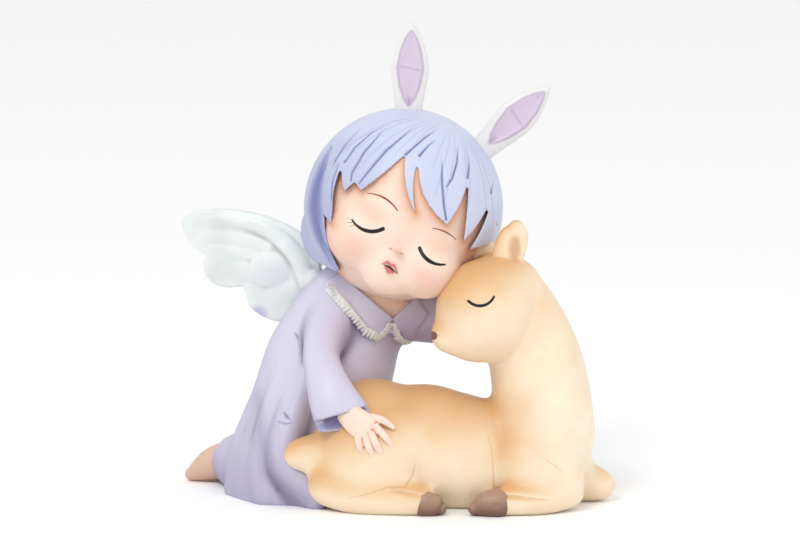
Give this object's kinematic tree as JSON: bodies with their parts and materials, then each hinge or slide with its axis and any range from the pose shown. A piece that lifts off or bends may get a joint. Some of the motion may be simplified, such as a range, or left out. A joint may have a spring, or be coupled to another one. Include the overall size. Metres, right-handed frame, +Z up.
{
  "type": "painted resin figurine",
  "caption": "Resin figurine of a sleeping girl angel with rabbit ears, kneeling and resting her cheek on the head of a lying fawn.",
  "frame": {"origin": "middle of the figurine's bounding box, on the ground that it stands on", "axes": "+X to the viewer's right, the side that the fawn's chest is on; +Y away from the viewer, the side that the wings are on; +Z up"},
  "size_m": [0.1344, 0.0885, 0.1461],
  "materials": {
    "gown": "satin paint on cast resin, grey lilac",
    "hair": "satin paint on cast resin, periwinkle",
    "skin": "satin paint on cast resin, pale with airbrushed blush",
    "fawn": "satin paint on cast resin, tan fading to cream",
    "hoof": "satin paint on cast resin, brown",
    "lace": "matte paint on cast resin, off-white",
    "wing": "pearl lacquer on cast resin",
    "ear": "satin paint on cast resin, white with a pink lilac hollow"
  },
  "bodies": {
    "root": {"girl_and_fawn": "gown", "wing_right": "wing", "wing_left": "wing", "rabbit_ear_right": "ear", "rabbit_ear_left": "ear"}
  },
  "joints": []
}
